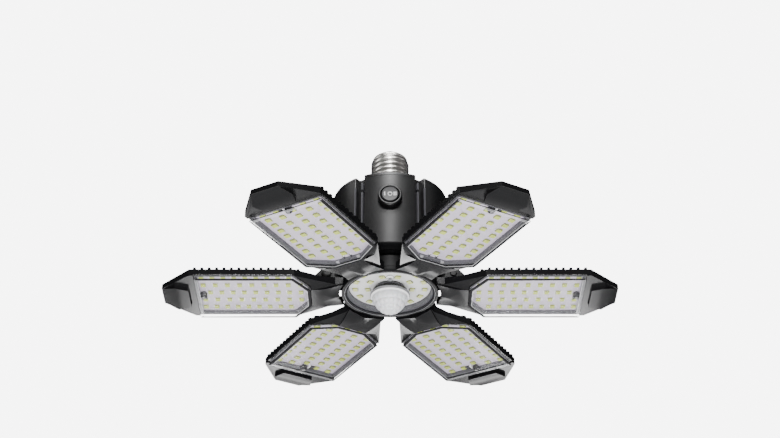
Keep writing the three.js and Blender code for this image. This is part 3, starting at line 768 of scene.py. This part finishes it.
BODY_R = radius("driver_housing")
BODY_LOW_Z = height("driver_housing", 0)
BODY_TOP_Z = height("driver_housing", 1)
CAP_LOW_Z = BODY_TOP_Z + 0.3
SEAM = 0.1  # between the housing and its cap
WALL = 2.2
GROOVE_DEPTH = 4.4
GROOVE_FLOOR_R = BODY_R - GROOVE_DEPTH
GROOVE_LIP = 0.35  # how far a groove's edges are cut back
PANEL_HALF = 26.3  # degrees either side of the panel's middle, up to the groove
GROOVE_END = 36.4  # degrees from the panel's middle
SWITCH_Z = (height("switch_bezel", 0) + height("switch_bezel", 1)) / 2


def body_outline(shrink):
    """The plan: a circle with a groove at each side of the front and rear panels.

    A quarter of it is drawn as (radius, degrees from the panel's middle), and is mirrored twice.
    """
    lip_r = BODY_R - GROOVE_LIP
    lip_turn = 0.6
    slant = 0.3
    panel_steps = 10
    side_steps = 20
    quarter = [(BODY_R, PANEL_HALF * i / panel_steps) for i in range(panel_steps)]
    quarter += [(BODY_R, PANEL_HALF - lip_turn), (lip_r, PANEL_HALF), (GROOVE_FLOOR_R, PANEL_HALF + slant)]
    quarter += [(GROOVE_FLOOR_R, GROOVE_END - slant), (lip_r, GROOVE_END), (BODY_R, GROOVE_END + lip_turn)]
    side_start = GROOVE_END + 2
    quarter += [(BODY_R, side_start + (90 - side_start) * i / side_steps) for i in range(side_steps + 1)]
    half = quarter + [(r, 180 - a) for r, a in quarter[::-1][1:]]
    whole = half + [(r, -a) for r, a in half[::-1][1:-1]]
    points = []
    for r, a in whole:
        angle = math.radians(a - 90)
        points.append(((r - shrink) * math.cos(angle), (r - shrink) * math.sin(angle)))
    return points


def body_rings(levels):
    """Rings for Build.layers, from (shrink, z) pairs."""
    return level((body_outline(shrink), z) for shrink, z in levels)


def driver_housing():
    """The shell, open at the top. Its wall has no hole for the switch and is whole behind the
    bezel."""
    top = CAP_LOW_Z - SEAM
    levels = [
        (3, BODY_LOW_Z),
        (0.9, BODY_LOW_Z),
        (0.25, BODY_LOW_Z + 0.25),
        (0, BODY_LOW_Z + 0.9),
        (0, top - 0.15),
        (0.15, top),
        (WALL, top),
        (WALL, BODY_LOW_Z + 2),
    ]
    return Build().layers(body_rings(levels))


def groove_ribs():
    """In each groove a thin upright rib with a notch near its top, and a bead at its far edge. Both are grey
    against the black housing as painted highlight lines.
    """
    build = Build()
    rib_half = 0.55
    rib_across = (GROOVE_FLOOR_R - 0.5, BODY_R - 1.2)
    rib_low = BODY_LOW_Z + 14
    rib_top = BODY_TOP_Z - 2.2
    notch_low = 60
    notch_top = notch_low + 1.8
    bead_half = 0.4
    bead_across = (BODY_R - 1, BODY_R + 0.35)
    bead_low = BODY_LOW_Z + 16
    bead_top = 64
    for panel in (0, 180):
        for side in (-1, 1):
            rib = Matrix.Rotation(math.radians(panel + side * (PANEL_HALF + 3.6) - 90), 4, "Z")
            for z in ((rib_low, notch_low), (notch_top, rib_top)):
                build.box(rib_across, (-rib_half, rib_half), z, 0, rib)
            bead = Matrix.Rotation(math.radians(panel + side * (GROOVE_END + 0.5) - 90), 4, "Z")
            build.box(bead_across, (-bead_half, bead_half), (bead_low, bead_top), 0, bead)
    return build


def top_cap():
    """The lid, in the same plan as the housing, with a hollow neck up to the screw shell."""
    low = CAP_LOW_Z
    shoulder = next(m for m in frame["record"]["mounts"] if m["name"] == "housing_shoulder")
    high = (shoulder["pos_m"][2] - face_z) / MM
    levels = [(6, low), (0.15, low), (0, low + 0.15), (0, high - 0.7), (0.25, high - 0.2)]
    levels += [(0.8, high), (6, high)]
    build = Build().layers(body_rings(levels))
    shell_low = height("screw_shell", 0)
    bore = 11.2
    bore_top = shell_low + 4.9
    neck = [(0, high - 1), (21.5, high - 1), (20.6, high + 0.05), (19.4, high + 0.6), (18.3, high + 2)]
    neck += [(17, high + 3.9), (15.9, high + 5.8), (15, high + 8), (14.6, shell_low - 0.6)]
    neck += [(14.3, shell_low - 0.35), (bore, shell_low - 0.3), (bore, bore_top), (0, bore_top)]
    return build.lathe(neck, ROUND)


def switch_bezel():
    """A round bezel: a chamfered flange on a barrel."""
    low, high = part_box("switch_bezel")
    depth = (high[1] - low[1]) / MM
    rim = radius("switch_bezel")
    profile = [(6.15, -depth), (6.9, -depth), (6.9, -3.4), (rim, -3.4), (rim, -1.0), (rim - 0.15, -0.55)]
    profile += [(rim - 0.6, -0.12), (rim - 0.9, 0), (6.6, -0.05), (6.3, -0.25), (6.15, -0.6)]
    return moved(Build().lathe(profile, ROUND), around_y(low[1] / MM, SWITCH_Z))


def rocker():
    """A round rocker cap on a stem, dished across the middle, with the marks I, O and II."""
    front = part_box("switch_rocker")[0][1] / MM
    r = 5.6
    build = Build()
    profile = [(0, -7.4), (1.6, -7.4), (1.6, -3.9), (r, -3.9), (r, -0.55), (r - 0.15, -0.2), (r - 0.5, -0.02)]
    profile += [(r - 1.4, -0.12), (r - 3, -0.24), (0, -0.3)]
    build.lathe(profile, ROUND)
    face = -0.3
    foot = face - 0.1
    for stroke_x in (-3.5, 2.7, 3.9):
        stroke = [(x + stroke_x, y) for x, y in rectangle(0.3, 1.4)]
        build.prism(rounded(stroke, 0.2), foot, face + 0.34, 1)
    ring = [(1.1, foot), (1.5, foot), (1.5, face + 0.2), (1.1, face + 0.2)]
    build.lathe(ring, FINE, 1)
    return moved(build, around_y(front, SWITCH_Z))


piece("housing", driver_housing(), [housing_plastic], ROOT, ["driver_housing"])
piece("ribs", groove_ribs(), [wall_sheen_grey], ROOT, bevel=0.15)
piece("cap", top_cap(), [housing_plastic], ROOT, ["top_cap"])
piece("bezel", switch_bezel(), [housing_plastic], ROOT, ["switch_bezel"])
piece("rocker_cap", rocker(), [button_plastic, mark_paint], "rocker", ["switch_rocker"])

# ---- screw base ---------------------------------------------------------------------------------

THREAD_PITCH = 25.4 / 7
THREAD_R = radius("screw_shell")
THREAD_DEPTH = 1.1
THREAD_CREST = 1.7  # above 1, the thread's crests are wider than its roots


def screw_shell():
    """The rolled shell: its radius follows a rounded helical thread that fades at both ends."""
    low = height("screw_shell", 0)
    top = height("screw_shell", 1)
    thread_top = top - 2.2
    rows = 110
    fade_rows = 12
    rings = [[polar(11.7, t, low) for t in turns(ROUND)]]
    for j in range(rows + 1):
        z = low + (thread_top - low) * j / rows
        fade = min(1, j / fade_rows, (rows - j) / fade_rows)
        ring = []
        for t in turns(ROUND):
            dip = 0.5 - 0.5 * math.cos(math.tau * z / THREAD_PITCH - t)
            ring.append(polar(THREAD_R - THREAD_DEPTH * (1 - fade + fade * dip**THREAD_CREST), t, z))
        rings.append(ring)
    rolled_end = [(11.95, top - 1.5), (11.5, top - 0.7), (10.8, top - 0.15), (9.9, top), (9.9, top - 0.6)]
    rolled_end += [(10.9, top - 1.2), (11.5, thread_top)]
    rings += [[polar(r, t, z) for t in turns(ROUND)] for r, z in rolled_end]
    return Build().layers(rings, closed=True)


def base_insulator():
    low = height("base_insulator", 0)
    top = height("base_insulator", 1)
    profile = [(0, low), (9.4, low), (9.4, top - 2.2), (9, top - 1.6), (7.6, top - 0.7), (6.2, top - 0.1)]
    return Build().lathe([*profile, (5.6, top), (0, top)], ROUND)


def contact_tip():
    low = height("contact_tip", 0)
    top = height("contact_tip", 1)
    profile = [(0, low), (4.9, low), (5, low + 0.3), (4.9, low + 0.8), (4.5, top - 0.5), (4.1, top - 0.1)]
    return Build().lathe([*profile, (3.6, top), (0, top)], FINE)


piece("shell", screw_shell(), [nickel], ROOT, ["screw_shell"], sharp=60)
piece("insulator", base_insulator(), [black_glass], ROOT, ["base_insulator"])
piece("tip", contact_tip(), [solder], ROOT, ["contact_tip"], sharp=50)

# ---- pieces that stay as the CAD drew them ------------------------------------------------------

HIDDEN_FINISHES = {
    "pir_detector": nickel,
    "pir_board": circuit_mask,
    "switch_body": housing_plastic,
    "driver_board": circuit_mask,
    "driver_transformer": coil_tape,
    "driver_capacitor": housing_plastic,
    "hub_screw_1": steel,
    "hub_screw_2": steel,
    "hub_screw_3": steel,
}
for node, material in HIDDEN_FINISHES.items():
    data = frame["nodes"][node].data
    data.materials.clear()
    data.materials.append(material)

# ---- floor, light and camera --------------------------------------------------------------------

# Places and sizes in this section are in metres.
FLOOR_Z = face_z - 0.85
FLOOR_HALF = 6


def floor():
    """A pale floor below the lamp."""
    mesh = bpy.data.meshes.new("floor")
    corners = [(x, y, FLOOR_Z) for x, y in rectangle(FLOOR_HALF, FLOOR_HALF)]
    mesh.from_pydata(corners, [], [(0, 1, 2, 3)])
    mesh.materials.append(surface("floor", (0.85, 0.85, 0.86), 0.7, grain=4, bump=0.02, tint=0.01))
    obj = bpy.data.objects.new("floor", mesh)
    bpy.context.scene.collection.objects.link(obj)


def softbox(name, place_at, target, size, power):
    """A rectangular area light that the camera doesn't see. Its power is in watts."""
    light = bpy.data.lights.new(name, "AREA")
    light.shape = "RECTANGLE"
    light.size, light.size_y = size
    light.energy = power
    obj = bpy.data.objects.new(name, light)
    obj.location = place_at
    toward = Vector(target) - Vector(place_at)
    obj.rotation_euler = toward.to_track_quat("-Z", "Y").to_euler()
    obj.visible_camera = False
    bpy.context.scene.collection.objects.link(obj)


def backdrop_light():
    """A white backdrop for the camera, and a dimmer grey one for what the lamp reflects."""
    world = bpy.data.worlds.new("studio")
    bpy.context.scene.world = world
    world.use_nodes = True
    nodes = world.node_tree.nodes
    links = world.node_tree.links
    seen = nodes["Background"]
    seen.inputs["Color"].default_value = (1, 1, 1, 1)
    seen.inputs["Strength"].default_value = 7.0
    lit = nodes.new("ShaderNodeBackground")
    lit.inputs["Color"].default_value = (0.9, 0.92, 1, 1)
    lit.inputs["Strength"].default_value = 0.02
    path = nodes.new("ShaderNodeLightPath")
    mix = nodes.new("ShaderNodeMixShader")
    links.new(path.outputs["Is Camera Ray"], mix.inputs["Fac"])
    links.new(lit.outputs["Background"], mix.inputs[1])
    links.new(seen.outputs["Background"], mix.inputs[2])
    links.new(mix.outputs["Shader"], nodes["World Output"].inputs["Surface"])


middle = (0, 0, face_z)
floor()
backdrop_light()
# Small lights for one part each, then the large ones for the whole lamp.
softbox("panel", (0, -0.36, face_z + 0.262), (0, -0.03, face_z + 0.08), (0.045, 0.1), 0.7)
softbox("shell", (-0.107, -0.036, face_z + 0.153), (0, 0, face_z + 0.096), (0.05, 0.04), 0.03)
softbox("shell front", (0, -0.125, face_z + 0.16), (0, 0, face_z + 0.096), (0.03, 0.04), 0.08)
for side in (-1, 1):
    softbox("arms", (side * 0.152, 0.659, face_z - 0.325), (side * -0.01, -0.054, face_z), (0.12, 0.09), 0.4)
    softbox("tabs", (side * 0.36, 1.378, face_z - 0.62), (side * -0.14, 0, face_z), (0.2, 0.1), 0.5)
softbox("front", (0, -0.9, face_z + 1.6), middle, (1.4, 0.5), 32)
softbox("under", (0, -0.45, face_z - 0.82), middle, (1.2, 0.8), 36)
softbox("behind", (0, 1.6, face_z - 0.45), middle, (1.3, 0.22), 3.8)
softbox("left", (-1.3, -0.2, face_z + 1.1), middle, (0.4, 0.5), 1)
softbox("right", (1.3, -0.2, face_z + 1.1), middle, (0.4, 0.5), 1)
softbox("top", (0, 0.9, face_z + 1.6), middle, (1.6, 0.8), 5)

# The camera is in front of the lamp and below it, and looks up.
CAMERA_DISTANCE = 1.114
CAMERA_BELOW = math.radians(29.11)
CAMERA_PITCH = math.radians(90 + 31.69)

camera_data = bpy.data.cameras.new("camera")
camera_data.sensor_width = 36
camera_data.lens = 77.42
camera = bpy.data.objects.new("camera", camera_data)
camera.location = (
    0,
    -CAMERA_DISTANCE * math.cos(CAMERA_BELOW),
    face_z - CAMERA_DISTANCE * math.sin(CAMERA_BELOW),
)
camera.rotation_euler = (CAMERA_PITCH, 0, 0)
bpy.context.scene.collection.objects.link(camera)
bpy.context.scene.camera = camera
